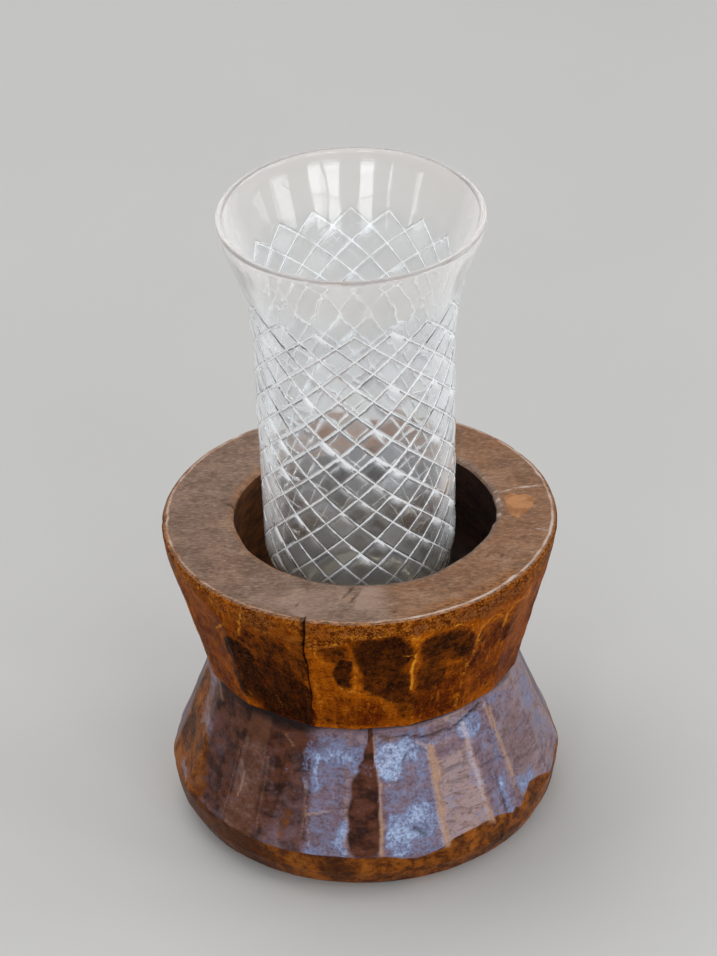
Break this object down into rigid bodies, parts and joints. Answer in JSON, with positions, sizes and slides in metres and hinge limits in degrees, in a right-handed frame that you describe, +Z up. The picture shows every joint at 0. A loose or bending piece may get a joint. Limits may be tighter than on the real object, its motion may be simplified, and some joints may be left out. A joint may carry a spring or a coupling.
{
  "type": "propagation vase",
  "caption": "Clear flared glass vase with a crossed diamond-cut body, standing loose in the hollow of an hourglass-shaped wooden stand carved with adze facets.",
  "frame": {"origin": "middle of the stand's underside, on the surface that it stands on", "axes": "+Z up through the vase, -Y towards the viewer, +X to the viewer's right"},
  "size_m": [0.1496, 0.1496, 0.2576],
  "materials": {
    "carved_wood": "hand-carved, waxed and worn",
    "clear_glass": "clear, fire-polished lip and diamond-cut body"
  },
  "bodies": {
    "stand": {"wooden_stand": "carved_wood"},
    "vase": {"glass_vase": "clear_glass"}
  },
  "joints": [
    {"name": "vase_lift", "type": "slide", "parent": "stand", "child": "vase", "axis": [0, 0, 1], "range_m": [0, 0.12]}
  ]
}
